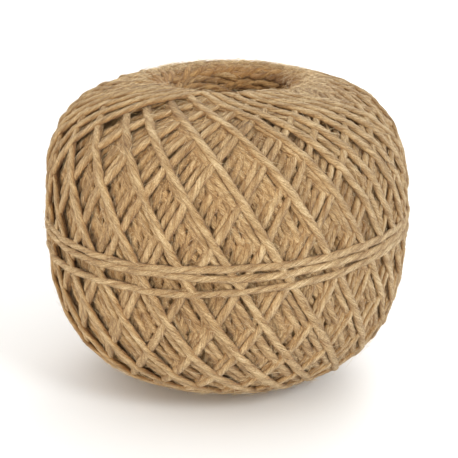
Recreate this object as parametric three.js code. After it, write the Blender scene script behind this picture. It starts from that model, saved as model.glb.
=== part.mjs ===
// A ball of natural two-ply twine, wound on a mandrel, so a round hole runs through it from end to end.
// The twine is one continuous piece, so the ball is one solid: the wound body, its main criss-cross turns
// as raised ridges, the turns that lap round the mouth of the hole, and three turns binding the belly.
// Millimetres, +Z up, origin at the centre of the flat spot that the ball rests on.
import * as THREE from "three";

// The twine and how it is wound
const TWINE = 2.2; // thickness of the twine
const TURNS = 24; // main turns in one lap round the ball
const LEAN = 0.6; // tangent of the angle between a turn's plane and the ball's axis
const LAST_TURN = -88; // degrees round the ball at which the last main turn passes the top
const RIDGE_SHARE = 0.25; // half-width of a ridge, as a share of the gap from one turn to the next
const SPREAD = 0.11; // how far a turn strays from even spacing, as a share of that gap

// The body, measured to the backs of the uppermost turns
const BODY_RADIUS = 39;
const BELLY_HEIGHT = 36; // from the flat spot to the widest plane
const CROWN = { height: 30.8, fullness: 3.2 }; // the half above the belly, as a superellipse
const KEEL = { height: 37.2, fullness: 2.8 }; // the half below it, cut off by the flat spot

// How far the ridges stand above the ground between them
const GROUND_DEPTH = 0.8 * TWINE; // the ground lies this deep under BODY_RADIUS
const OVER_LIFT = GROUND_DEPTH; // a turn that passes over the others
const UNDER_LIFT = 0.5 * TWINE; // a turn that passes under them
const BELT_LIFT = OVER_LIFT + 0.45 * TWINE; // a turn that binds the belly, over everything
const BELT_GROOVE = 0.75 * TWINE; // the groove between two belly turns
const BELT_FLAT = 0.3 * TWINE; // half-width of a belly turn's back
const BELT_FOOT = 0.7 * TWINE; // from its middle to its foot

// The belly turns, from the top down: height over the belly plane, and a tilt towards one side
const BELTS = [
  { level: 0.9, tilt: 0.6, towards: -90 },
  { level: -1.3, tilt: 0.4, towards: -80 },
  { level: -4.4, tilt: 1.6, towards: -20 },
];
const BELT_CLEARANCE = 2.6; // from the belly turns to the nearest row of criss-cross turns

// The hole's outline, from the crown's shoulder over the lip, down the bore and out to the flat spot
const BORE_RADIUS = 10.5;
const HOLE = [
  { radius: 17.7, height: 66.0 },
  { radius: 16.0, height: 65.6 },
  { radius: 14.5, height: 66.5 },
  { radius: 13.0, height: 66.1 },
  { radius: 11.8, height: 64.6 },
  { radius: 11.0, height: 61.5 },
  { radius: BORE_RADIUS, height: 54 },
  { radius: BORE_RADIUS, height: 36 },
  { radius: BORE_RADIUS, height: 16 },
  { radius: 10.9, height: 7 },
  { radius: 11.6, height: 2.2 },
  { radius: 12.6, height: 0 },
  { radius: 16.6, height: 0 },
  { radius: 18.9, height: 0.9 },
];

// The rows of the criss-cross: each ridge has a vertex on its crest and one at each foot
const SIDES = 3 * TURNS;
const FIRST_ROW = 10; // the rows nearer to the ends would be thinner than the twine
const LAST_ROW = SIDES - FIRST_ROW;

const radians = THREE.MathUtils.degToRad;
const gap = radians(360 / TURNS);

// A point of the body's outline where height over radius equals slope, with its outward normal.
function outlineAt(slope) {
  const half = slope < 0 ? KEEL : CROWN;
  const power = 2 / half.fullness;
  const t = Math.atan(((Math.abs(slope) * BODY_RADIUS) / half.height) ** (1 / power));
  const normal = new THREE.Vector2(
    Math.cos(t) ** (2 - power) / BODY_RADIUS,
    Math.sin(t) ** (2 - power) / half.height,
  ).normalize();
  return {
    radius: BODY_RADIUS * Math.cos(t) ** power,
    height: Math.sign(slope) * half.height * Math.sin(t) ** power,
    out: normal.x,
    up: Math.sign(slope) * normal.y,
  };
}

// A point of the wound surface, lifted off the ground between the turns.
function woundPoint(angle, slope, lift) {
  const at = outlineAt(slope);
  const off = lift - GROUND_DEPTH;
  const uneven = 0.25 * Math.sin(2 * angle + 0.7) + 0.15 * Math.sin(3 * angle - 4 * slope);
  const radius = at.radius + at.out * (off + uneven);
  const height = BELLY_HEIGHT + at.height + at.up * off;
  return new THREE.Vector3(radius * Math.cos(angle), radius * Math.sin(angle), height);
}

// Where turn number k/3 passes the top, as an angle round the ball. A whole k/3 is a crest, and the
// two values between it and the next are the feet of the ridges on either side.
function turnAngle(k) {
  const turn = Math.round(k / 3);
  const side = k - 3 * turn;
  const stray = SPREAD * Math.sin(2.4 * (((turn % TURNS) + TURNS) % TURNS));
  return radians(LAST_TURN) + gap * (turn + side * RIDGE_SHARE + stray);
}

// How many turns were wound after this one: the younger of two turns lies on top.
function age(k) {
  const turn = Math.round(k / 3) % TURNS;
  return (TURNS - turn) % TURNS;
}

function crestLift(k, other) {
  const over = age(k) <= age(other);
  const uneven = 1 + 0.12 * Math.sin(1.9 * Math.round(k / 3));
  return (over ? OVER_LIFT : UNDER_LIFT) * uneven;
}

// A ring is SIDES points. Its shift is 0, or 0.5 where it is turned by half a step.
function ring(shift, pointAt) {
  return { shift, points: Array.from({ length: SIDES }, (_, i) => pointAt(i)) };
}

// One row of the criss-cross. Each vertex lies where one turn on its way down and another on its way
// up cross, or at the feet of their ridges, so every edge of the mesh runs along a turn. Towards the
// ends the turns crowd together, and the ground between them fills up.
function crossingRow(row) {
  return ring((row % 2) / 2, (i) => {
    const down = Math.ceil(row / 2) - row + i;
    const up = down + row;
    const angle = (turnAngle(down) + turnAngle(up)) / 2;
    const fromTop = (turnAngle(up) - turnAngle(down)) / 2;
    const lifts = [UNDER_LIFT * Math.cos(fromTop) ** 4];
    if (down % 3 === 0) lifts.push(crestLift(down, up));
    if (up % 3 === 0) lifts.push(crestLift(up, down));
    return woundPoint(angle, Math.cos(fromTop) / LEAN, Math.max(...lifts));
  });
}

function plainRing(shift, pointAt) {
  return ring(shift, (i) => pointAt(radians(LAST_TURN) + ((i + shift) * 2 * Math.PI) / SIDES));
}

// The rings of the belly turns: the upper foot, two along each turn's back, a groove between each
// turn and the next, and the lower foot.
function beltRings(firstShift) {
  const heightAt = (belt, angle) => belt.level + belt.tilt * Math.cos(angle - radians(belt.towards));
  const made = [];
  const add = (height, lift) => {
    const shift = made.length % 2 ? 0.5 - firstShift : firstShift;
    made.push(plainRing(shift, (angle) => woundPoint(angle, height(angle) / BODY_RADIUS, lift)));
  };
  add((angle) => heightAt(BELTS[0], angle) + BELT_FOOT, UNDER_LIFT);
  BELTS.forEach((belt, n) => {
    const next = BELTS[n + 1];
    add((angle) => heightAt(belt, angle) + BELT_FLAT, BELT_LIFT);
    add((angle) => heightAt(belt, angle) - BELT_FLAT, BELT_LIFT);
    if (next) add((angle) => (heightAt(belt, angle) + heightAt(next, angle)) / 2, BELT_GROOVE);
    else add((angle) => heightAt(belt, angle) - BELT_FOOT, UNDER_LIFT);
  });
  return made;
}

function holeRing({ radius, height }, n) {
  return plainRing((n % 2) / 2, (angle) => {
    return new THREE.Vector3(radius * Math.cos(angle), radius * Math.sin(angle), height);
  });
}

// Height over the belly plane of a row of the criss-cross, before the ridges are spread.
function rowHeight(row) {
  return outlineAt(Math.cos((Math.PI * row) / SIDES) / LEAN).height;
}

// All rings, in order: down the outside, across the flat spot and back up the bore.
function rings() {
  const beltTop = BELTS[0].level + BELTS[0].tilt + BELT_CLEARANCE;
  const last = BELTS[BELTS.length - 1];
  const beltBottom = last.level - last.tilt - BELT_CLEARANCE;
  const above = [];
  const below = [];
  for (let row = FIRST_ROW; row <= LAST_ROW; row++) {
    if (rowHeight(row) > beltTop) above.push(crossingRow(row));
    if (rowHeight(row) < beltBottom) below.push(crossingRow(row));
  }
  const belts = beltRings(0.5 - above[above.length - 1].shift);
  return [...above, ...belts, ...below, ...HOLE.map(holeRing).reverse()];
}

// Joins each ring to the next, and the last to the first. The diagonal of each quad follows the
// half-step from one ring to the other, so it runs along a turn too.
function skin(all) {
  const positions = all.flatMap(({ points }) => points.flatMap((p) => p.toArray()));
  const faces = [];
  all.forEach(({ shift }, r) => {
    const next = (r + 1) % all.length;
    for (let i = 0; i < SIDES; i++) {
      const j = (i + 1) % SIDES;
      const [a, b] = [r * SIDES + i, r * SIDES + j];
      const [c, d] = [next * SIDES + i, next * SIDES + j];
      if (all[next].shift > shift) faces.push(a, c, b, b, c, d);
      else faces.push(a, c, d, a, d, b);
    }
  });
  const geometry = new THREE.BufferGeometry();
  geometry.setAttribute("position", new THREE.Float32BufferAttribute(positions, 3));
  geometry.setIndex(faces);
  geometry.computeVertexNormals();
  return geometry;
}

const jute = new THREE.MeshStandardMaterial({ color: 0xc4a274, roughness: 0.9, metalness: 0 });
const ball = new THREE.Mesh(skin(rings()), jute);
ball.name = "wound_ball";

const ballOfTwine = new THREE.Group();
ballOfTwine.add(ball);
export default ballOfTwine;
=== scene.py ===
# %% [markdown]
# # A ball of natural twine
# This notebook dresses one part: a ball of jute twine, wound on a mandrel, so that a round hole runs
# through it. The frame gives the ball's size and place, and the one solid in it is replaced here by
# the turns of twine themselves.
#
# A ball like this could be a smooth body with a bumpy material, but every outline and every gap
# between the turns would look painted on. So the twine is wound in code as a winding machine winds
# it, turn upon turn, and each turn comes to rest on those under it.

# %% Load the frame
import math

import bpy
import numpy as np
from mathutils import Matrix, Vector


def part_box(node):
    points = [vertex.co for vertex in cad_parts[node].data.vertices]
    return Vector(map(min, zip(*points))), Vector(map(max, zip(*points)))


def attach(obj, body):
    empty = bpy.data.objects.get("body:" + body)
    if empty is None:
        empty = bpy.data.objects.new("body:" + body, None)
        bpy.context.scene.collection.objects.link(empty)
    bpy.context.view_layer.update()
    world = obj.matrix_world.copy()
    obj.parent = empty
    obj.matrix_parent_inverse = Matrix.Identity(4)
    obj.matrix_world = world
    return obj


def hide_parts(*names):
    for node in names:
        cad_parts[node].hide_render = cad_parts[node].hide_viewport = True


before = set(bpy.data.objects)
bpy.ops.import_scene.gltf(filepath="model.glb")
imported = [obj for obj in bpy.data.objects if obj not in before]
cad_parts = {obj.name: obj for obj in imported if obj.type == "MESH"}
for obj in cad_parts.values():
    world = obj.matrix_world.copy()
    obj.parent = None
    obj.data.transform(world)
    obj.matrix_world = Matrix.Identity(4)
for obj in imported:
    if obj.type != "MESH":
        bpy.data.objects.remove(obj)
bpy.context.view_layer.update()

MM = 0.001  # the frame is in metres, and the lengths below are in millimetres
NODE = "wound_ball"
low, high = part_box(NODE)
print("the ball is", [round((b - a) / MM, 1) for a, b in zip(low, high)], "mm")
bpy.ops.object.select_all(action="DESELECT")

# %% [markdown]
# ## The body's outline
# Seen from the side the ball is a superellipse: flatter than a circle at the crown, and a little
# more pointed below. A place on it is given by two angles: `around`, the angle round the axis, and
# `rise`, the angle over the belly as seen from the middle of the ball. One function turns a rise
# into a radius, a height and the direction that faces out.

# %% The outline of the body
BODY_RADIUS = 39.0
BELLY_HEIGHT = 36.0  # of the belly over the floor
CROWN, CROWN_FULLNESS = 31.0, 3.2  # height over the belly, and how square the outline is there
KEEL, KEEL_FULLNESS = 37.2, 2.8  # the same under the belly
LIP_RADIUS = 18.3  # inside this the crown rolls over into the hole
LIP_CURVE = 0.14  # drop in millimetres over the square of the distance past the lip
LOWEST_RISE, HIGHEST_RISE = -71.0, 69.0  # degrees between which the twine is wound
RISE_ROWS = 241


def outline(rise):
    """Radius and height over the belly, and the outward normal's two parts, at an angle of rise."""
    slope = np.abs(np.tan(rise))
    half = np.where(rise < 0, KEEL, CROWN)
    power = 2 / np.where(rise < 0, KEEL_FULLNESS, CROWN_FULLNESS)
    turn = np.arctan((slope * BODY_RADIUS / half) ** (1 / power))
    out = np.cos(turn) ** (2 - power) / BODY_RADIUS
    up = np.sign(rise) * np.sin(turn) ** (2 - power) / half
    length = np.hypot(out, up)
    radius = BODY_RADIUS * np.cos(turn) ** power
    height = np.sign(rise) * half * np.sin(turn) ** power
    past = np.clip(LIP_RADIUS - radius, 0, None) * (rise > 0)
    out, up = out / length - 2 * LIP_CURVE * past, up / length
    length = np.hypot(out, up)
    return radius, height - LIP_CURVE * past**2, out / length, up / length


def round_axis(around, radius, height):
    """Points at a distance from the ball's axis and a height, each turned round it by an angle."""
    return np.stack([radius * np.cos(around), radius * np.sin(around), height], 1)


def on_the_body(around, rise):
    """Points on the outline, and the directions that face out there."""
    radius, height, out, up = outline(rise)
    return round_axis(around, radius, height), round_axis(around, out, up)


RISES = np.radians(np.linspace(LOWEST_RISE, HIGHEST_RISE, RISE_ROWS))
radii, heights, _, _ = outline(RISES)
mm_per_rise = np.hypot(np.gradient(radii, RISES), np.gradient(heights, RISES))
print("the outline is", round(float(np.sum(mm_per_rise) * (RISES[1] - RISES[0])), 1), "mm long")

# %% [markdown]
# ## The path of the twine
# On the winding machine the ball turns slowly about its axis while an arm lays the twine round it
# in a tilted plane. One turn of the arm is one loop: up one side, past the crown beside the hole,
# down the other side and under. The next loop lies a little further round, and after one lap of
# the ball the loops start to fall beside those of the lap before.
#
# So the whole winding is one long curve. It could be drawn by hand, loop by loop, but a formula
# gives the same regular criss-cross that the machine does. A few slow waves are added to it, since
# no machine and no twine is quite even.

# %% The laps, from the oldest that shows to the newest
GAP = 15.15  # degrees from one loop to the next
LOOPS = 24  # loops in one lap
LAST_LOOP = -84.0  # degrees at which the newest loop passes the crown
CLOSE_LOOPS = 6  # the last loops of all lie closer together
CLOSE_START = -129.5  # degrees at which the first of them passes the crown
CLOSE_LAP = 3  # gaps of the older laps that they take
LAP_SHIFT = 2.5  # degrees from a lap's loops to those of the lap before
LAPS = [  # tangents of the loops' tilt from upright at the crown, at the belly and at the foot
    {"crown": 0.540, "belly": 0.400, "foot": 0.51},
    {"crown": 0.540, "belly": 0.425, "foot": 0.51},
    {"crown": 0.530, "belly": 0.452, "foot": 0.50},
    {"crown": 0.515, "belly": 0.480, "foot": 0.49},
    {"crown": 0.500, "belly": 0.510, "foot": 0.48},
    {"crown": 0.485, "belly": 0.541, "foot": 0.47},
    {"crown": 0.465, "belly": 0.573, "foot": 0.45},
    {"crown": 0.445, "belly": 0.605, "foot": 0.43},
]
NEWEST = len(LAPS) - 1


def loops_in(number):
    """Loops in one lap. The newest has as many more as its close loops take."""
    return LOOPS - CLOSE_LAP + (CLOSE_LOOPS if number == NEWEST else CLOSE_LAP)


def crown_pass(number, back):
    """Degrees at which a lap passes the crown, some loops back from its last pass."""
    if number < NEWEST:
        return CLOSE_START + GAP * CLOSE_LAP - LAP_SHIFT * (NEWEST - number) - GAP * back
    close_gap = (LAST_LOOP - CLOSE_START) / CLOSE_LOOPS
    close_pass = LAST_LOOP - close_gap * back
    return np.where(back < CLOSE_LOOPS, close_pass, CLOSE_START - GAP * (back - CLOSE_LOOPS))


print("loops in each lap:", [loops_in(number) for number in range(len(LAPS))])

# %% The path of each lap
SLOW_STRAY = [(0.9, 1.7, 1), (0.6, 4.3, 2)]  # waves in degrees, as (size, rate, shift by lap)
QUICK_STRAY = [(0.35, 23, 3), (0.2, 47, 1)]
LEAN_WAVES = [(0.02, 2.9, 1), (0.012, 7.7, 0)]  # the same for the tilt, as shares of it
CALM_LOOPS, CALM = 3, 0.3  # the last loops stray less, down to this share
TILT_POWER = 6  # the higher it is, the longer the tilt stays what it is at the belly
POINTS_PER_LOOP = 1440
STEP = 0.4  # millimetres between the points of the finished path


def waves(table, at, number, base=0):
    """The sum of a few waves that never fall in step, over a base value."""
    return sum((size * np.sin(rate * at + shift * number) for size, rate, shift in table), base)


def travelled(place):
    """The length of a line of points up to each of them."""
    return np.concatenate([[0], np.cumsum(np.linalg.norm(np.diff(place, axis=0), axis=1))])


def even(around, rise, loops):
    """The same path with its points STEP apart on the outline."""
    along = travelled(on_the_body(around, rise)[0])
    wanted = np.arange(0, along[-1], STEP)
    return [np.interp(wanted, along, values) for values in (around, rise, loops)]


def lap_path(number):
    """Angles around and of rise along one lap, evenly spaced, with the loop number at each point."""
    lap = LAPS[number]
    count = loops_in(number)
    loops = np.linspace(0, count, count * POINTS_PER_LOOP + 1)
    back = count - 0.5 - loops  # a loop starts at the foot and is at the crown half way
    turn = np.radians(180 - 360 * loops)
    stray = waves(SLOW_STRAY, loops, number) + waves(QUICK_STRAY, loops, number)
    passed = crown_pass(number, back) + stray * np.clip(back / CALM_LOOPS, CALM, 1)
    end = np.where(np.cos(turn) > 0, lap["crown"], lap["foot"])
    lean = lap["belly"] + (end - lap["belly"]) * np.cos(turn) ** TILT_POWER
    lean = lean * waves(LEAN_WAVES, loops, number, base=1)
    return even(np.radians(passed) + turn, np.arctan(np.cos(turn) / lean), loops)


paths = [lap_path(number) for number in range(len(LAPS))]
print("path points in each lap:", [len(path[0]) for path in paths])

# %% [markdown]
# ## Winding it up
# Twine under tension rests on whatever lies highest under it, and runs straight from one such
# place to the next. The ball's surface is kept as a grid of heights. Each loop is laid in turn: it
# is lifted until it clears the grid, pulled taut, and then added to the grid for the loops that
# follow. A physics engine could do this too, at a thousand times the cost.

# %% How a length of twine lies on the grid
HALF_TWINE = 0.98  # millimetres from the middle of a turn to its edge
ACROSS = np.linspace(-1, 1, 11)  # places across a turn, from edge to edge
ROUNDED = np.sqrt(1 - 0.98 * ACROSS**2)  # how high its back is there, not quite 0 at the edges
SQUASH = 0.24  # crossing turns press into each other, so a turn adds less than its thickness
PULLS = 260  # times that a loop is pulled, until it is taut
COLUMNS = 480
grid = np.zeros((COLUMNS, RISE_ROWS))


def unit(vectors):
    return vectors / np.linalg.norm(vectors, axis=1)[:, None]


def cells(around, rise):
    """Grid cells under the twine, for each point of the path and each place across it."""
    place, normal = on_the_body(around, rise)
    side = unit(np.cross(normal, np.gradient(place, axis=0)))
    east = -np.sin(around) * side[:, 0] + np.cos(around) * side[:, 1]
    north = np.sqrt(np.clip(1 - east**2, 0, 1)) * np.sign(side[:, 2])
    radius = np.hypot(place[:, 0], place[:, 1])
    offsets = HALF_TWINE * ACROSS
    angle = around[:, None] + offsets * (east / radius)[:, None]
    tilt = rise[:, None] + offsets * (north / np.interp(rise, RISES, mm_per_rise))[:, None]
    column = np.round(angle / (2 * np.pi) * COLUMNS).astype(int) % COLUMNS
    row = np.round((tilt - RISES[0]) / (RISES[1] - RISES[0])).astype(int)
    return column, np.clip(row, 0, RISE_ROWS - 1)


def lay(around, rise):
    """Heights of the twine's middle over the body, once it lies taut on the grid."""
    column, row = cells(around, rise)
    arch = HALF_TWINE * ROUNDED * SQUASH
    support = (grid[column, row] + arch).max(1)
    place, normal = on_the_body(around, rise)
    bend = -0.5 * np.sum((place[:-2] - 2 * place[1:-1] + place[2:]) * normal[1:-1], 1)
    height = support.copy()
    for _ in range(PULLS):
        taut = (height[:-2] + height[2:]) / 2 - bend
        height[1:-1] = np.maximum(support[1:-1], taut)
    np.maximum.at(grid, (column, row), height[:, None] + arch)
    return height


print("one cell of the grid is", round(2 * math.pi * BODY_RADIUS / COLUMNS, 2), "mm wide at the belly")

# %% Lay the laps, loop by loop
OVERLAP = 0.02  # share of a loop that is laid again before its start, so that it joins the last one
SETTLE_SHARE = 80  # percent of a row of the grid that lies under the level it is drawn in by
SETTLE_ROWS = 13  # rows over which that level is smoothed


def settle():
    """Draws the grid in by the lap just laid, so that the body keeps its outline, and says how far."""
    top = np.percentile(grid, SETTLE_SHARE, axis=0)
    top = np.pad(top, SETTLE_ROWS // 2, mode="edge")
    top = np.convolve(top, np.ones(SETTLE_ROWS) / SETTLE_ROWS, mode="valid")
    grid[:] -= top
    return top


wound = []
for number, (around, rise, loops) in enumerate(paths):
    lifted = np.zeros(len(around))
    for loop in range(loops_in(number)):
        mine = np.flatnonzero((loops >= loop - OVERLAP) & (loops < loop + 1))
        fresh = loops[mine] >= loop
        lifted[mine[fresh]] = lay(around[mine], rise[mine])[fresh]
    wound.append(lifted)
    top = settle()
    for older, (_, older_rise, _) in zip(wound, paths):
        older -= np.interp(older_rise, RISES, top)
    print("lap", number + 1, "adds", round(float(np.median(top)), 2), "mm")

# %% [markdown]
# ## Pressing it together
# Soft twine under load fills every gap below it, so the older laps of a tight ball lie nearly level
# with the newest, and only narrow crevices stay open between them. The depths found above are
# squeezed towards the surface here, and the order of the turns stays as it was.

# %% Press the depths together
REACH = 2.3  # millimetres under the outline that the oldest turns come near to
PROUD = 0.7  # millimetres over the outline that the newest come near to
LIP_PRESSED = 0.6  # share by which both are less at the lip, where every loop bears on the rest
LIP_REACH = 4.0  # millimetres over which that fades out


def pressed(height, rise):
    past_lip = np.clip(outline(rise)[0] - LIP_RADIUS, 0, None)
    near_lip = np.exp(-((past_lip / LIP_REACH) ** 2)) * (rise > 0)
    limit = np.where(height < 0, REACH, PROUD) * (1 - LIP_PRESSED * near_lip)
    return np.sign(height) * limit * (1 - np.exp(-np.abs(height) / limit))


wound = [pressed(height, path[1]) for height, path in zip(wound, paths)]
grid = pressed(grid, np.broadcast_to(RISES, grid.shape))
print("middles of the laps, in mm:", [round(float(np.median(height)), 1) for height in wound])

# %% [markdown]
# ## The belly turns
# Three turns round the belly hold the criss-cross down. They are one length of twine, which steps
# down from turn to turn at the back. They are laid last, so they ride over every other turn, and
# both ends are tucked in at the back, where no loose end shows.

# %% The belly turns' heights
BELTS = [  # each turn's height over the belly, its drift and the side it is highest on, and its sag
    {"level": 1.5, "drift": 0.5, "towards": -20, "sag": 1.9},
    {"level": -0.4, "drift": 0.6, "towards": -30, "sag": 1.7},
    {"level": -3.9, "drift": 2.2, "towards": -10, "sag": 1.0},
]
BELT_WAVES = [(0.3, 3, 1.3), (0.15, 7, 2.6)]  # in millimetres, as (size, waves, shift by turn)
SAG_AT, SAG_WIDTH = 255, 50  # degrees round the ball: the sag is near the front
STEP_OVER = 0.09  # share of a turn in which the twine steps down to the next


def belt_height(number, degrees):
    belt = BELTS[number]
    drift = belt["drift"] * np.cos(np.radians(degrees - belt["towards"]))
    height = belt["level"] + drift + waves(BELT_WAVES, np.radians(degrees), number)
    return height - belt["sag"] * np.exp(-(((degrees - SAG_AT) / SAG_WIDTH) ** 2))


def eased(turns, at):
    """Goes smoothly from 0 to 1 where the twine steps over to its next turn."""
    share = np.clip((turns - at) / STEP_OVER / 2 + 0.5, 0, 1)
    return share**2 * (3 - 2 * share)


at_the_front = [round(float(belt_height(number, 270)), 1) for number in range(len(BELTS))]
print("heights of the belly turns at the front, in mm:", at_the_front)

# %% Lay the belly turns
BELT_START = 95.0  # degrees round the ball at which the first turn starts
BELT_MORE = 0.01  # share of a turn that each end goes on past it
BELT_POINTS = 9000
BELT_PRESSED = 0.1  # millimetres that the turns press into those under them
TUCK, TUCK_DEPTH = 18.0, 3.4  # millimetres over which each end dives under its neighbours, and how far

turns = np.linspace(-BELT_MORE, len(BELTS) + BELT_MORE, BELT_POINTS)
height = belt_height(0, BELT_START + 360 * turns)
for number in range(1, len(BELTS)):
    next_height = belt_height(number, BELT_START + 360 * (turns - number))
    height += (next_height - height) * eased(turns, number)
around, rise, _ = even(np.radians(BELT_START + 360 * turns), np.arctan(height / BODY_RADIUS), turns)
height = lay(around, rise) - BELT_PRESSED
along = np.arange(len(around)) * STEP
for distance in (along, along[-1] - along):
    height -= TUCK_DEPTH * np.clip(1 - distance / TUCK, 0, 1) ** 2
belly_turns = (around, rise, height)
print("belly turns:", len(BELTS), "in one length of", round(along[-1]), "mm")

# %% [markdown]
# ## The twine's own shape
# Two strands twisted together make a section with two rounded lobes and a groove on either side.
# The section is swept along the path and turned as it goes, so that the grooves run round the
# twine like the thread of a screw. A curve with a bevel could do that as well, but a swept mesh
# can thicken and thin at random, as jute does, and it can carry the fibres' direction with it.
#
# Each ring of the mesh stores where it lies along the whole length of twine, and where each of its
# points lies round the twine. The material reads both, so its fibres follow the twist. A third
# value, `outer`, says how far a point faces out of the ball, less so on deep turns and in the hole.
# The material darkens the twine where it is low, as painted shade on the turns' sides and undersides.

# %% The section of the twine and the sweep
LAY_LENGTH = 12.0  # millimetres in which the two strands make a full turn round each other
STRAND_RADIUS, STRAND_OFFSET = 0.78, 0.13
FLATTEN = 0.76  # a turn is pressed this flat against the ball
SECTION = np.radians([-60, -20, 20, 60, 90, 120, 160, 200, 240, 270])  # every fifth is in a groove
SIDES = len(SECTION)
lobe = STRAND_OFFSET * np.abs(np.cos(SECTION))
SECTION_RADIUS = lobe + np.sqrt(STRAND_RADIUS**2 - (STRAND_OFFSET * np.sin(SECTION)) ** 2)
SLUBS = [(0.05, 5.1, 0), (0.05, 13.7, 1), (0.04, 31, 2)]  # waves, as (share, length over 2 pi, start)
UNEVEN = [(0.045, 1.9, 2), (0.035, 0.87, 5)]  # waves that also go round, as (share, length, lobes)
BURIED_SHADE = 0.3  # how much less the deepest turns face out, so that they get more painted shade


def slub(along):
    """Thickness of the twine along its length, as a share of the even thickness."""
    return sum((share * np.sin(along / length + start) for share, length, start in SLUBS), 1)


def sweep_run(centre, normal, along, scale, painted_shade):
    """Points of one length of twine, the place of each along and round it, and how far it faces out."""
    tangent = unit(np.gradient(centre, axis=0))
    side = unit(np.cross(tangent, normal))
    out = np.cross(side, tangent)
    along = along[:, None]
    turn = 2 * np.pi * along / LAY_LENGTH + SECTION
    uneven = sum(share * np.sin(along / length + lobes * SECTION) for share, length, lobes in UNEVEN)
    radius = scale[:, None] * slub(along) * SECTION_RADIUS * (1 + uneven)
    points = (
        centre[:, None]
        + (radius * np.cos(turn))[..., None] * side[:, None] / FLATTEN**0.5
        + (radius * np.sin(turn))[..., None] * out[:, None] * FLATTEN
    )
    lay_at = np.stack(np.broadcast_arrays(np.cos(SECTION), np.sin(SECTION), along), -1)
    # painted shade: the sides and undersides of each turn, deep turns and turns in the hole face out
    # less, and the material darkens them by it
    return points, lay_at, (0.5 + 0.5 * np.sin(turn)) * (1 - BURIED_SHADE * painted_shade[:, None])


widest = 2 * float(SECTION_RADIUS.max())
print("one ring of the twine has", SIDES, "points and is", round(widest, 2), "mm wide, unpressed")

# %% [markdown]
# ## From runs to meshes
# Hundreds of lengths of twine show, and as many curve objects would be slow to make and to store.
# So the points of many runs go into one mesh at once, as arrays. Each run is closed at both ends, so
# that the mesh has no open edge. Its texture map unrolls the twine into parallel strips.

# %% The texture map
CELL_SHAPE = 6.5  # how many times taller than wide a ring's cell is
STRIP_MARGIN = 0.04  # share of a strip's height left free on either side
CAP_RADIUS = 0.4  # radius of an end's round face, as a share of its cell


def lay_out_strips(mesh, rings, caps):
    """A texture map that unrolls the twine in parallel strips, with a cell for each end."""
    cells_needed = rings + caps
    strips = max(1, round(math.sqrt(cells_needed / CELL_SHAPE)))
    per_strip = math.ceil(cells_needed / strips)
    cell = np.arange(cells_needed)
    u, v = (cell % per_strip) / per_strip, (cell // per_strip) / strips
    step = np.arange(SIDES)
    low_v = v[:rings, None] + (STRIP_MARGIN + (1 - 2 * STRIP_MARGIN) * step / SIDES) / strips
    high_v = v[:rings, None] + (STRIP_MARGIN + (1 - 2 * STRIP_MARGIN) * (step + 1) / SIDES) / strips
    left = np.repeat(u[:rings, None], SIDES, 1)
    right = left + 1 / per_strip
    corners = np.stack([left, low_v, left, high_v, right, high_v, right, low_v], -1)
    turn = 2 * np.pi * step / SIDES
    round_u = u[rings:, None] + (0.5 + CAP_RADIUS * np.cos(turn)) / per_strip
    round_v = v[rings:, None] + (0.5 + CAP_RADIUS * np.sin(turn)) / strips
    flat = np.concatenate([corners.ravel(), np.stack([round_u, round_v], -1).ravel()])
    mesh.uv_layers.new(name="OFBake").data.foreach_set("uv", flat.astype(np.float32))


print("in the texture map, a ring of faces is", CELL_SHAPE, "times as tall as it is wide")

# %% One mesh of many lengths of twine
FOOT_SOFT = 0.6  # millimetres over the floor in which the ball's own weight flattens its foot


def on_the_floor(height):
    """Flattens what would sink into the floor, and keeps what lies over what."""
    flattened = FOOT_SOFT * np.exp(np.minimum(height / FOOT_SOFT - 1, 0))
    return np.where(height < FOOT_SOFT, flattened, height)


def tube_faces(start, rings, sides):
    """Corners of the faces between a tube's rings, and of its two ends. Points count from start."""
    ring = np.arange(sides)
    rows = start + sides * np.arange(rings - 1)[:, None]
    a, b = rows + ring, rows + (ring + 1) % sides
    quads = np.stack([a, b, b + sides, a + sides], -1).reshape(-1, 4)
    return quads, [start + ring[::-1], start + sides * (rings - 1) + ring]


def add_object(name, data):
    thing = bpy.data.objects.new(name, data)
    bpy.context.scene.collection.objects.link(thing)
    return thing


def store(mesh, name, kind, field, values):
    """Keeps a value at each point of a mesh, for its material to read."""
    attribute = mesh.attributes.new(name, kind, "POINT")
    attribute.data.foreach_set(field, values.astype(np.float32).ravel())


def fill_mesh(mesh, points, quads, caps):
    mesh.vertices.add(len(points))
    mesh.vertices.foreach_set("co", (points * MM).astype(np.float32).ravel())
    corners = np.concatenate([quads.ravel(), np.concatenate(caps)])
    sizes = np.concatenate([np.full(len(quads), 4), np.full(len(caps), SIDES)])
    mesh.loops.add(len(corners))
    mesh.loops.foreach_set("vertex_index", corners.astype(np.int32))
    mesh.polygons.add(len(sizes))
    starts = np.concatenate([[0], np.cumsum(sizes)[:-1]])
    mesh.polygons.foreach_set("loop_start", starts.astype(np.int32))
    mesh.update(calc_edges=True)
    mesh.polygons.foreach_set("use_smooth", np.ones(len(sizes), bool))


def twine_mesh(name, runs):
    """One piece of many lengths of twine, with the values that its material reads."""
    points, lay_at, outer, quads, caps, start = [], [], [], [], [], 0
    for run in runs:
        made, place, facing = sweep_run(*run)
        points.append(made.reshape(-1, 3))
        lay_at.append(place.reshape(-1, 3))
        outer.append(facing.ravel())
        sides_of_run, ends_of_run = tube_faces(start, len(made), SIDES)
        quads.append(sides_of_run)
        caps += ends_of_run
        start += SIDES * len(made)
    points, quads = np.concatenate(points), np.concatenate(quads)
    points[:, 2] = on_the_floor(points[:, 2] + BELLY_HEIGHT)
    mesh = bpy.data.meshes.new(name)
    fill_mesh(mesh, points, quads, caps)
    store(mesh, "lay", "FLOAT_VECTOR", "vector", np.concatenate(lay_at))
    store(mesh, "outer", "FLOAT", "value", np.concatenate(outer))
    lay_out_strips(mesh, len(quads) // SIDES, len(caps))
    return add_object(name, mesh)


print("twine 1 mm under the floor comes to lie", round(float(on_the_floor(-1.0)), 3), "mm over it")
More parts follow.
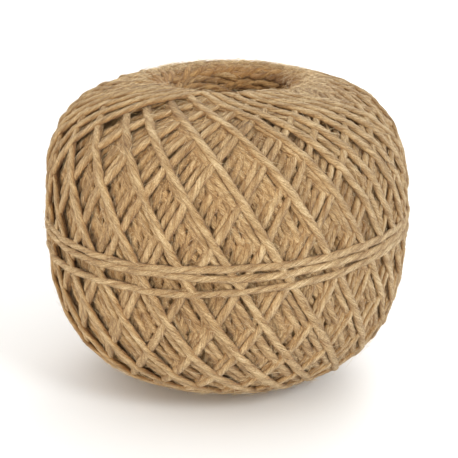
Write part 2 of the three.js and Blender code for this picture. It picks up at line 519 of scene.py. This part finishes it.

# %% [markdown]
# ## Where a turn lies, and its painted shade
# The deep turns are painted browner than the newest, as painted shade where less light reaches
# them. The turns that dip into the hole get more painted shade still, and most of all in a pocket on
# one side of it, where the mandrel has left the wall drawn back a little. A lamp could leave that
# side dark too, but only from one direction, so it is given by shape and by painted shade, a value
# on the mesh.

# %% Place a length of twine on the body
BACKS_OUT = 0.3  # millimetres that the turns' backs stand over where they were wound
SINK = HALF_TWINE * (FLATTEN - SQUASH) - BACKS_OUT  # how much lower their middles lie for that
BARELY_BURIED = 0.3  # millimetres over the outline above which a turn counts as outside
LIP_SHADE_WIDTH = 4.0  # millimetres inside the lip over which the turns get more painted shade
POCKET_AT, POCKET_WIDTH = 35.0, 34.0  # degrees round the hole where its wall is drawn back
POCKET_DEPTH, LIP_POCKET_DEPTH = 2.2, 0.6  # millimetres, on the wall and on the lip
WALL_SHADE, LIP_SHADE = 2.3, 1.7  # how many times as much painted shade these get as the deepest turns outside
POCKET_SHADE, LIP_POCKET_SHADE = 0.5, 1.0  # what the middle of the pocket adds to this painted shade


def pocket(around):
    """Goes from 0 to 1 at the middle of the pocket."""
    degrees = (np.degrees(around) - POCKET_AT + 180) % 360 - 180
    return np.exp(-((degrees / POCKET_WIDTH) ** 2))


def place_run(around, rise, height, along, scale):
    """A length of twine ready to be swept, from its path and its heights over the body."""
    place, normal = on_the_body(around, rise)
    # painted shade: deep turns, turns inside the lip, and most of all those in the pocket
    painted_shade = np.clip((BARELY_BURIED - height) / (BARELY_BURIED + REACH), 0, 1)
    inside = np.clip((LIP_RADIUS - outline(rise)[0]) / LIP_SHADE_WIDTH, 0, 1) * (rise > 0)
    painted_shade = np.maximum(painted_shade, (LIP_SHADE + LIP_POCKET_SHADE * pocket(around)) * inside)
    height = height - LIP_POCKET_DEPTH * pocket(around) * inside
    centre = place + normal * (height - SINK)[:, None]
    return centre, normal, along, np.full(len(along), scale), painted_shade


print("the middles of the turns lie", round(SINK, 2), "mm lower than they were wound")

# %% [markdown]
# ## Which lengths show
# Most of the twine in a real ball is out of sight. A length that lies deep under later turns is
# left out, and the rest is kept in runs, each a little longer than what shows, so that its ends
# are out of sight too.

# %% Cut the laps into the runs that show
RING_STEPS = [1.0, 1.0, 1.4, 1.4, 1.8]  # millimetres between rings, from the newest lap inwards
HIDDEN = 0.5  # a length with this much twine over all its width can't be seen
SPARE = 8.0  # millimetres kept past each end of a run
FEWEST_RINGS = 4  # a shorter run is left out
NEWEST_SCALE, OLDER_SCALE = 0.92, 0.9  # thickness of the turns, as a share of the section's
LAP_PATTERN = 10000.0  # millimetres of twine from one lap to the next, so that no two look alike
NOTHING_LAID = -9.0

arch = HALF_TWINE * FLATTEN * ROUNDED
top_grid = np.full_like(grid, NOTHING_LAID)
for (around, rise, _), height in zip(paths, wound):
    np.maximum.at(top_grid, cells(around, rise), height[:, None] + arch)


def shows(number, step):
    """The points of a lap that lie a step apart, and whether the twine shows at each."""
    around, rise, _ = paths[number]
    every = np.arange(0, len(around), step / STEP).astype(int)
    column, row = cells(around[every], rise[every])
    over = top_grid[column, row] - (wound[number][every, None] + arch)
    return every, over.min(1) < HIDDEN


def visible_runs(number):
    """The lengths of one lap that show, ready to be swept."""
    around, rise, _ = paths[number]
    step = RING_STEPS[min(NEWEST - number, len(RING_STEPS) - 1)]
    every, seen = shows(number, step)
    spread = np.convolve(seen, np.ones(2 * round(SPARE / step) + 1), mode="same") > 0
    edges = np.flatnonzero(np.diff(np.concatenate([[0], spread.astype(int), [0]])))
    along = np.arange(len(around)) * STEP + LAP_PATTERN * number
    scale = NEWEST_SCALE if number == NEWEST else OLDER_SCALE
    picks = [every[first:past] for first, past in zip(edges[::2], edges[1::2])]
    picks = [pick for pick in picks if len(pick) >= FEWEST_RINGS]
    return [place_run(around[p], rise[p], wound[number][p], along[p], scale) for p in picks]


lap_runs = [visible_runs(number) for number in range(len(LAPS))]
for number, runs in enumerate(lap_runs):
    rings = sum(len(run[2]) for run in runs)
    print("lap", number + 1, "shows in", len(runs), "runs of", rings, "rings")

# %% The winding's pieces
PIECE_RINGS = 3600
LONGEST_RUN = 900  # rings
BELT_EVERY = 2  # points of the path from one ring of the belly turns to the next
BELT_SCALE = 0.82  # they are pulled tighter than the rest, and so are thinner
BELT_PATTERN = 90000  # millimetres of twine from the first lap to these


def make_pieces(name, runs):
    """Joins the runs into pieces of a size that bakes well."""
    batches, rings = [[]], 0
    for run in runs:
        if batches[-1] and rings + len(run[2]) > PIECE_RINGS:
            batches.append([])
            rings = 0
        batches[-1].append(run)
        rings += len(run[2])
    return [twine_mesh(f"{name}_{number}", batch) for number, batch in enumerate(batches, 1)]


def split_long(runs):
    """Cuts very long runs, so that pieces can be filled evenly. The cut ends meet exactly."""
    parts = []
    for run in runs:
        count = len(run[2])
        for first in range(0, count - 1, LONGEST_RUN):
            past = min(first + LONGEST_RUN + 1, count)
            if past - first > 2:
                parts.append(tuple(value[first:past] for value in run))
    return parts


wound_pieces = []
for number, runs in enumerate(lap_runs, 1):
    wound_pieces += make_pieces(f"lap_{number}_turns", split_long(runs))
around, rise, height = belly_turns
pick = np.arange(0, len(around), BELT_EVERY)
belt_run = place_run(around[pick], rise[pick], height[pick], pick * STEP + BELT_PATTERN, BELT_SCALE)
wound_pieces += make_pieces("belly_turns", split_long([belt_run]))
for piece in wound_pieces:
    print(piece.name, len(piece.data.polygons), "faces")

# %% [markdown]
# ## The wall of the hole
# The hole is what the mandrel left. Every loop of every lap touched the mandrel once, so the wall is
# a stack of short arcs, each running level where it touches and bending down and away into the body
# at its ends. Only the touching stretches show, so only those are made here: a row of arcs at each
# height, tilted a little one way or the other, as the loops were.

# %% The shape of the wall and of one arc
WALL = [  # radius and height over the belly of the wall's middle line, from the lip to the foot
    (14.8, 27.8), (13.7, 27.3), (12.8, 26.1), (12.1, 24.2), (11.8, 21.5), (11.7, 18.0),
    (11.7, -28.0), (12.2, -31.0), (13.3, -33.6), (14.6, -35.0),
]
ARC_RINGS = 12
ARC_SPAN = 48.0  # degrees from an arc's middle to its end
ARC_BOW = 2.6  # millimetres that the ends lie towards the belly
ARC_DIVE, DIVE_FROM = 4.6, 0.4  # millimetres that the ends lie behind the wall, and where that starts
POCKET_START, POCKET_LEAST = 2.5, 0.5  # millimetres down to the pocket's full depth, and its least share
WALL_SHADE_DEPTH, WALL_LEAST_SHADE = 4.0, 0.3  # millimetres down to the full painted shade, and its least share
wall = np.array(WALL)
wall_along = travelled(wall)


def wall_point(station):
    """Radius, height and the direction out of the wall's face, at a distance along it."""
    radius, height = [np.interp(station, wall_along, side) for side in wall.T]
    ahead, behind = station + 1.0, station - 1.0
    d_radius, d_height = [
        np.interp(ahead, wall_along, side) - np.interp(behind, wall_along, side) for side in wall.T
    ]
    length = np.hypot(d_radius, d_height)
    return radius, height, d_height / length, -d_radius / length


def wall_arc(station, middle, tilt, depth, along):
    """One arc, which touches the mandrel at its middle, ready to be swept."""
    share = np.linspace(-1, 1, ARC_RINGS)
    belly_side = 1 if station < wall_along[-1] / 2 else -1
    station = station + belly_side * ARC_BOW * share**2 + tilt * share
    radius, height, out, up = wall_point(np.clip(station, 0, wall_along[-1]))
    around = np.radians(middle + ARC_SPAN * share)
    drawn_back = POCKET_DEPTH * pocket(around) * np.clip(station / POCKET_START, POCKET_LEAST, 1)
    dive = ARC_DIVE * np.clip(np.abs(share) - DIVE_FROM, 0, 1) ** 2 / (1 - DIVE_FROM) ** 2
    behind = depth + drawn_back + dive
    place = round_axis(around, radius - out * behind, height - up * behind)
    normal = round_axis(around, out, up)
    from_mouth = np.minimum(station, wall_along[-1] - station)
    # painted shade on the wall of the hole, less near either mouth and more in the pocket
    painted_shade = WALL_SHADE * np.clip(from_mouth / WALL_SHADE_DEPTH, WALL_LEAST_SHADE, 1)
    painted_shade = painted_shade + POCKET_SHADE * pocket(around)
    return place, normal, along + travelled(place), np.ones(ARC_RINGS), painted_shade


print("the wall is", round(float(wall_along[-1]), 1), "mm from mouth to mouth")

# %% Arcs of twine round the hole
ROW_GAP = 1.6  # millimetres between rows of arcs
ROW_MARGIN = 0.4  # millimetres from either mouth to the first row
ARCS = 11
ARC_STRAY = 5  # degrees
ARC_TILT, TILT_STRAY = 1.3, 0.4  # millimetres up at an arc's end, and how much that varies
ARC_LAYER = 0.35  # millimetres that neighbours lie over each other
ARC_PATTERN, ARC_LENGTH = 50000.0, 31  # millimetres of twine from the first lap, and from arc to arc
rng = np.random.default_rng(7)

arc_runs = []
for row, station in enumerate(np.arange(ROW_MARGIN, wall_along[-1] - ROW_MARGIN, ROW_GAP)):
    for arc in range(ARCS):
        middle = 360 / ARCS * (arc + 0.5 * (row % 2)) - 180 + rng.normal(0, ARC_STRAY)
        tilt = ARC_TILT * (-1) ** (row + arc) + rng.normal(0, TILT_STRAY)
        along = ARC_PATTERN + ARC_LENGTH * len(arc_runs)
        arc_runs.append(wall_arc(station, middle, tilt, ARC_LAYER * (arc % 3), along))
wall_pieces = make_pieces("hole_wall", arc_runs)
print("the hole's wall:", len(arc_runs), "arcs in", len(wall_pieces), "pieces")

# %% [markdown]
# ## The turns out of sight
# Behind the turns that show lies the rest of the twine. It is seen only as the brown bottom of the
# deepest crevices, so one plain closed body stands for all of it. It is turned from a profile, as
# on a lathe.

# %% The body under the turns
UNDER_SKIN = 2.6  # millimetres from the outline to the body inside
UNDER_LOW, UNDER_HIGH = -66, 62  # degrees of rise between which the body follows the outline
BEHIND_WALL = [(14.2, 24.5), (13.6, 20.0), (13.6, -27.0), (14.6, -31.5)]  # radius, height over the belly
PROFILE_POINTS, SPIN_STEPS = 40, 72
MERGE = 1e-6  # metres

radius, height, out, up = outline(np.radians(np.linspace(UNDER_LOW, UNDER_HIGH, PROFILE_POINTS)))
profile = [*zip(radius - UNDER_SKIN * out, height - UNDER_SKIN * up), *BEHIND_WALL]
points = [(r * MM, 0, (z + BELLY_HEIGHT) * MM) for r, z in profile]
mesh = bpy.data.meshes.new("body_under_the_turns")
mesh.from_pydata(points, [(i, (i + 1) % len(points)) for i in range(len(points))], [])
core = add_object("body_under_the_turns", mesh)
bpy.context.view_layer.objects.active = core
core.select_set(True)
bpy.ops.object.mode_set(mode="EDIT")
bpy.ops.mesh.select_all(action="SELECT")
bpy.ops.mesh.spin(steps=SPIN_STEPS, angle=2 * math.pi, center=(0, 0, 0), axis=(0, 0, 1))
bpy.ops.mesh.select_all(action="SELECT")
bpy.ops.mesh.remove_doubles(threshold=MERGE)
bpy.ops.mesh.normals_make_consistent(inside=False)
bpy.ops.object.mode_set(mode="OBJECT")
bpy.ops.object.shade_smooth()
core.select_set(False)
print("the body inside has", len(core.data.polygons), "faces")

# %% [markdown]
# ## Loose fibres
# Jute is hairy: short fibres stand away from the twine, fine as thread and a few millimetres long.
# Most lie close to the surface, and few of them show against the background. Hair particles would
# grow them too, but a mesh keeps them in the part. Each is a thin three-sided tube with one bend,
# and they grow only where twine shows.

# %% Where the fibres grow
FIBRES = 13000
ROOT_STEP = 1.0  # millimetres along the twine between the places where one can grow


def fibre_roots():
    """Places on the turns that show, with the outward and lengthwise directions there."""
    tracks = []
    for number, (around, rise, _) in enumerate(paths):
        tracks.append((around, rise, wound[number], *shows(number, ROOT_STEP)))
    every_ring = np.arange(0, len(belly_turns[0]) - 1, BELT_EVERY)
    tracks.append((*belly_turns, every_ring, np.full(len(every_ring), True)))
    roots = []
    for around, rise, height, every, seen in tracks:
        at = every[seen & (every < len(around) - 1)]
        place, normal = on_the_body(around[at], rise[at])
        ahead, _ = on_the_body(around[at + 1], rise[at + 1])
        roots.append(np.stack([place + normal * (height[at] - SINK)[:, None], normal, ahead - place], 1))
    return np.concatenate(roots)


roots = fibre_roots()
print("places where a fibre can grow:", len(roots))

# %% Grow the fibres
FIBRE_LENGTH = (1.0, 3.4)
FIBRE_RADIUS = 0.025
FIBRE_LEAN = 0.9  # the most that one leans sideways, for each millimetre forward
FIBRE_CURL = 0.4  # how far its tip strays from a straight line, for each millimetre of its length
FIBRE_LIFT = 0.22  # the most that one stands away, for each millimetre of its length
FIBRE_REACH = 0.75  # millimetres along the surface, for each of its length
ROOT_OUT, ROOT_ASIDE = 0.75, 0.7  # millimetres from the twine's middle to the root
FIBRE_SHARES, FIBRE_TAPER = (0.0, 0.45, 1.0), (1.0, 0.85, 0.3)  # place and thickness of its rings
FIBRE_RINGS, FIBRE_SIDES = len(FIBRE_SHARES), 3
FIBRE_POINTS = FIBRE_RINGS * FIBRE_SIDES
LOWEST_FIBRE = 0.05  # millimetres over the floor

roots = roots[rng.integers(0, len(roots), FIBRES)]
root, normal, forward = roots[:, 0], roots[:, 1], unit(roots[:, 2])
side = np.cross(forward, normal)
lean_side = rng.uniform(-FIBRE_LEAN, FIBRE_LEAN, FIBRES)[:, None]
direction = forward * rng.choice([-1, 1], FIBRES)[:, None] + lean_side * side
root = root + ROOT_OUT * normal + ROOT_ASIDE * lean_side * side
lift = FIBRE_LIFT * rng.uniform(0, 1, FIBRES)[:, None] ** 2
curl = rng.normal(0, FIBRE_CURL, (FIBRES, 3))
curl -= np.sum(curl * normal, 1)[:, None] * normal
length = rng.uniform(*FIBRE_LENGTH, FIBRES)[:, None]
spine = []
for share in FIBRE_SHARES:
    reach = length * share
    spine.append(root + reach * (direction + curl * share) * FIBRE_REACH + reach * lift * normal)
spine = np.stack(spine, 1)
across = unit(np.cross(direction, normal))
angles = np.radians([90, 210, 330])[:, None]
girth = FIBRE_RADIUS * np.array(FIBRE_TAPER)[None, :, None, None]
fibre_points = (
    spine[:, :, None]
    + girth * np.cos(angles) * across[:, None, None]
    + girth * np.sin(angles) * normal[:, None, None]
).reshape(-1, 3)
fibre_points[:, 2] = np.maximum(fibre_points[:, 2] + BELLY_HEIGHT, LOWEST_FIBRE)
print("the fibres are", round(float(length.mean()), 1), "mm long on average")

# %% Join the fibres into one mesh
first_point = FIBRE_POINTS * np.arange(FIBRES)[:, None, None]
quads, ends = tube_faces(0, FIBRE_RINGS, FIBRE_SIDES)
quads = (first_point + quads).reshape(-1, 4).tolist()
ends = (first_point + np.array(ends)).reshape(-1, FIBRE_SIDES).tolist()
mesh = bpy.data.meshes.new("loose_fibres")
mesh.from_pydata((fibre_points * MM).tolist(), [], quads + ends)
store(mesh, "tone", "FLOAT", "value", np.repeat(rng.uniform(0, 1, FIBRES), FIBRE_POINTS))
fibres = add_object("loose_fibres", mesh)
print("loose fibres:", FIBRES, "with", len(mesh.polygons), "faces")

# %% [markdown]
# ## The jute
# Jute is a brown straw. Each fibre has its own tone, the tone drifts along the twine, and the
# grooves between the strands are darkened as painted shade. The streaks follow the twist, because
# the material reads the place round and along the twine that each mesh carries, instead of a place
# in space. An image of jute could be wrapped round the twine instead, but noise needs no image and
# never repeats.

# %% Short ways to add nodes and join them
FACTOR, FIRST, SECOND, MIXED = 0, 6, 7, 2  # the sockets of a Mix node that are for colours


class Nodes:
    def __init__(self, tree):
        self.tree = tree

    def add(self, kind, **settings):
        node = self.tree.nodes.new(kind)
        for name, value in settings.items():
            setattr(node, name, value)
        return node

    def join(self, source, target):
        self.tree.links.new(source, target)

    def put(self, value, socket):
        """Joins an output to a socket, or sets the socket to a plain value."""
        if isinstance(value, (float, tuple)):
            socket.default_value = value
        else:
            self.join(value, socket)

    def noise(self, vector, scale, detail, roughness=0.5):
        node = self.add("ShaderNodeTexNoise")
        node.inputs["Scale"].default_value = scale
        node.inputs["Detail"].default_value = detail
        node.inputs["Roughness"].default_value = roughness
        self.join(vector, node.inputs["Vector"])
        return node.outputs["Fac"]

    def stretch(self, vector, scale):
        node = self.add("ShaderNodeVectorMath", operation="MULTIPLY")
        self.join(vector, node.inputs[0])
        node.inputs[1].default_value = scale
        return node.outputs[0]

    def ramp(self, value, stops):
        node = self.add("ShaderNodeValToRGB")
        ramp = node.color_ramp
        while len(ramp.elements) < len(stops):
            ramp.elements.new(0.5)
        for element, (position, color) in zip(ramp.elements, stops):
            element.position, element.color = position, (*color, 1)
        self.join(value, node.inputs["Fac"])
        return node.outputs["Color"]

    def mix(self, blend, factor, first, second):
        node = self.add("ShaderNodeMix", data_type="RGBA", blend_type=blend)
        self.put(factor, node.inputs[FACTOR])
        self.put(first, node.inputs[FIRST])
        self.put(second, node.inputs[SECOND])
        return node.outputs[MIXED]

    def math(self, operation, first, second):
        node = self.add("ShaderNodeMath", operation=operation)
        self.put(first, node.inputs[0])
        self.put(second, node.inputs[1])
        return node.outputs[0]

    def weigh(self, *parts):
        """The sum of some values, each times its weight."""
        total = None
        for value, weight in parts:
            part = self.math("MULTIPLY", value, weight)
            total = part if total is None else self.math("ADD", total, part)
        return total


print("short ways:", ", ".join(name for name in vars(Nodes) if not name.startswith("_")))

# %% [markdown]
# ## The fibres' colour and relief
# Colour and relief come from the same streaks, so that a dark line between two fibres is also a
# dent. They are a group of nodes with two outputs, a colour and a normal, which any jute can use.

# %% The colour of the fibres
BROWN, TAN, STRAW = (0.12, 0.055, 0.014), (0.43, 0.248, 0.088), (0.80, 0.615, 0.355)
BLEACHED = (0.62, 0.49, 0.32, 1.0)
FLECK, BLOTCH = (0.55, 0.42, 0.3), (0.72, 0.66, 0.6)  # these and the next darken what is under them
# painted shade: in the grooves between the strands, and on the turns' sides, on deep turns and in the
# hole
GROOVE_PAINTED_SHADE, SIDE_PAINTED_SHADE = (0.74, 0.66, 0.56, 1.0), (0.86, 0.67, 0.44, 1.0)
# painted shade at its darkest, in the deepest crevices
DEEPEST_PAINTED_SHADE = (0.38, 0.29, 0.19)
BLACK, WHITE = (0.0, 0.0, 0.0), (1.0, 1.0, 1.0)

group = bpy.data.node_groups.new("jute fibres", "ShaderNodeTree")
for name, kind in (("Color", "NodeSocketColor"), ("Normal", "NodeSocketVector")):
    group.interface.new_socket(name, in_out="OUTPUT", socket_type=kind)
n = Nodes(group)
place = n.add("ShaderNodeAttribute", attribute_name="lay").outputs["Vector"]
streaks = n.noise(n.stretch(place, (1, 1, 0.08)), scale=3.4, detail=6, roughness=0.75)
fuzz = n.noise(n.stretch(place, (1, 1, 0.5)), scale=4.6, detail=4, roughness=0.75)
drift = n.noise(n.stretch(place, (0.12, 0.12, 0.045)), scale=1.0, detail=3)
color = n.ramp(
    n.weigh((streaks, 0.42), (drift, 0.22), (fuzz, 0.36)), [(0.39, BROWN), (0.475, TAN), (0.57, STRAW)]
)
pale = n.noise(n.stretch(place, (0.05, 0.05, 0.012)), scale=1.0, detail=2)
color = n.mix("MIX", n.math("MULTIPLY", pale, 0.35), color, BLEACHED)
flecks = n.noise(n.stretch(place, (1, 1, 0.3)), scale=2.1, detail=2)
color = n.mix("MULTIPLY", 1.0, color, n.ramp(flecks, [(0.30, FLECK), (0.40, WHITE)]))
blotch = n.noise(n.stretch(place, (0.5, 0.5, 0.22)), scale=1.3, detail=2)
color = n.mix("MULTIPLY", 0.5, color, n.ramp(blotch, [(0.3, BLOTCH), (0.6, WHITE)]))
print("the fibres' colour takes", len(group.nodes), "nodes so far")

# %% The painted shade in the grooves, on the sides and on deep turns, and the relief
GROOVE_POWER = 5.0  # the higher it is, the narrower the grooves between the strands
RELIEF = 0.35  # millimetres

round_twine = n.add("ShaderNodeSeparateXYZ")
n.join(place, round_twine.inputs[0])
groove = n.math("POWER", n.math("ABSOLUTE", round_twine.outputs[1], 0.0), GROOVE_POWER)
# painted shade in the grooves between the strands; the grooves' relief is the bump further down
color = n.mix("MULTIPLY", groove, color, GROOVE_PAINTED_SHADE)
outer = n.add("ShaderNodeAttribute", attribute_name="outer").outputs["Fac"]
# painted shade on the turns' sides and undersides, on deep turns and in the hole, from the outer value
shaded_side = n.ramp(outer, [(0.45, WHITE), (0.88, BLACK)])
color = n.mix("MULTIPLY", shaded_side, color, SIDE_PAINTED_SHADE)
color = n.mix("MULTIPLY", 1.0, color, n.ramp(outer, [(0.05, DEEPEST_PAINTED_SHADE), (0.32, WHITE)]))
bump = n.add("ShaderNodeBump")
bump.inputs["Strength"].default_value = 1.0
bump.inputs["Distance"].default_value = RELIEF * MM
n.join(n.weigh((streaks, 1.2), (groove, -0.55), (fuzz, 0.9)), bump.inputs["Height"])
out = n.add("NodeGroupOutput")
n.join(color, out.inputs["Color"])
n.join(bump.outputs["Normal"], out.inputs["Normal"])
print("the whole group has", len(group.nodes), "nodes")

# %% [markdown]
# ## The three materials
# Dry jute has no gloss, and its finest hairs catch light at the edges, which sheen stands for. The
# loose fibres are too thin for streaks, so each has one tone. The body inside is seen only between
# turns, and plain brown grain is enough for it.

# %% The materials of the twine, the loose fibres and the body inside
PALE = (0.84, 0.71, 0.48)
DEEP_BROWN, DEEP_TAN = (0.34, 0.19, 0.075), (0.55, 0.36, 0.16)
SHEEN_TINT = (1.0, 0.9, 0.75, 1)


def new_material(name, roughness):
    """A new material, its nodes and its shader."""
    material = bpy.data.materials.new(name)
    material.use_nodes = True
    shader = material.node_tree.nodes["Principled BSDF"]
    shader.inputs["Roughness"].default_value = roughness
    return material, Nodes(material.node_tree), shader


jute, n, shader = new_material("jute twine", roughness=0.82)
fibre_group = n.add("ShaderNodeGroup", node_tree=group)
n.join(fibre_group.outputs["Color"], shader.inputs["Base Color"])
n.join(fibre_group.outputs["Normal"], shader.inputs["Normal"])
shader.inputs["Specular IOR Level"].default_value = 0.25
shader.inputs["Sheen Weight"].default_value = 0.25
shader.inputs["Sheen Roughness"].default_value = 0.5
shader.inputs["Sheen Tint"].default_value = SHEEN_TINT

hair, n, shader = new_material("jute hairs", roughness=0.6)
tone = n.add("ShaderNodeAttribute", attribute_name="tone").outputs["Fac"]
n.join(n.ramp(tone, [(0.0, BROWN), (0.3, TAN), (0.6, STRAW), (1.0, PALE)]), shader.inputs["Base Color"])

deep, n, shader = new_material("deep turns", roughness=0.9)
grain = n.noise(n.add("ShaderNodeTexCoord").outputs["Object"], scale=900.0, detail=3)
n.join(n.ramp(grain, [(0.35, DEEP_BROWN), (0.65, DEEP_TAN)]), shader.inputs["Base Color"])
print("materials:", [material.name for material in (jute, hair, deep)])

# %% Dress the pieces and say what they replace
for piece in wound_pieces + wall_pieces:
    piece.data.materials.append(jute)
fibres.data.materials.append(hair)
core.data.materials.append(deep)
dressed = [*wound_pieces, *wall_pieces, fibres, core]
for piece in dressed:
    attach(piece, "root")
    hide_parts(NODE)
print("pieces that replace the solid:", len(dressed))

# %% [markdown]
# ## The floor, the camera and the light
# The ball stands on a white floor in a white room. The camera looks down on it from a little above,
# far enough to see into the hole. The key light stands at the front on the right, and the fill
# light on the left is warm, so that the left of the ball turns browner. Two weak fills, behind and
# low in front, keep the back of the crown and the foot from going dark.

# %% The floor and the camera
PIXEL = 80 / 366 * MM  # a pixel of the picture, at the ball
PICTURE_WIDTH = 458  # pixels
CAMERA_RISE = math.radians(17.5)
CAMERA_DISTANCE = 1547  # in the picture's pixels
AIM_RIGHT, AIM_DOWN = 1.9, 17.9  # pixels from the belly's middle to the middle of the picture
SENSOR = 36  # millimetres
FLOOR_SIZE, FLOOR_WHITE = 6, (0.93, 0.93, 0.93, 1)  # metres, and its colour

bpy.ops.mesh.primitive_plane_add(size=FLOOR_SIZE, location=(0, 0, 0))
floor = bpy.context.object
floor.name = "floor"
white, _, shader = new_material("white floor", roughness=0.5)
shader.inputs["Base Color"].default_value = FLOOR_WHITE
floor.data.materials.append(white)

centre = Vector((0, 0, BELLY_HEIGHT * MM))
camera_data = bpy.data.cameras.new("camera")
camera = add_object("camera", camera_data)
bpy.context.scene.camera = camera
toward = Vector((0, -math.cos(CAMERA_RISE), math.sin(CAMERA_RISE)))
camera.location = centre + CAMERA_DISTANCE * PIXEL * toward
aim = centre + Vector((AIM_RIGHT * PIXEL, 0, -AIM_DOWN * PIXEL / math.cos(CAMERA_RISE)))
camera.rotation_euler = (aim - camera.location).to_track_quat("-Z", "Y").to_euler()
camera_data.sensor_width = SENSOR
camera_data.lens = SENSOR * CAMERA_DISTANCE / PICTURE_WIDTH
print("the camera is", round(CAMERA_DISTANCE * PIXEL / MM), "mm from the ball's middle")

# %% The light
LIGHTS = [  # name, place and size in metres, watts and colour
    ("key", (0.42, -0.5, 0.42), 0.22, 2.7, (0.92, 0.98, 1.0)),
    ("back fill", (0.2, 0.6, 0.3), 0.4, 1.6, (1.0, 0.98, 0.95)),
    ("low fill", (0.0, -0.6, 0.05), 0.3, 0.8, (1.0, 0.98, 0.94)),
    ("warm fill", (-0.5, -0.5, 0.12), 0.4, 2.0, (1.0, 0.79, 0.46)),
]

for name, place, size, power, color in LIGHTS:
    data = bpy.data.lights.new(name, "AREA")
    data.size, data.energy, data.color = size, power, color
    light = add_object(name, data)
    light.location = place
    light.rotation_euler = (centre - light.location).to_track_quat("-Z", "Y").to_euler()
world = bpy.data.worlds.new("world")
bpy.context.scene.world = world
world.use_nodes = True
world.node_tree.nodes["Background"].inputs["Color"].default_value = (1, 1, 1, 1)
world.node_tree.nodes["Background"].inputs["Strength"].default_value = 1.0
bpy.context.scene.view_settings.view_transform = "Standard"
print("lights:", len(LIGHTS))

# %% Count the triangles
counts = {piece.name: sum(len(face.vertices) - 2 for face in piece.data.polygons) for piece in dressed}
print("triangles:", sum(counts.values()), "the most in one piece:", max(counts.values()))
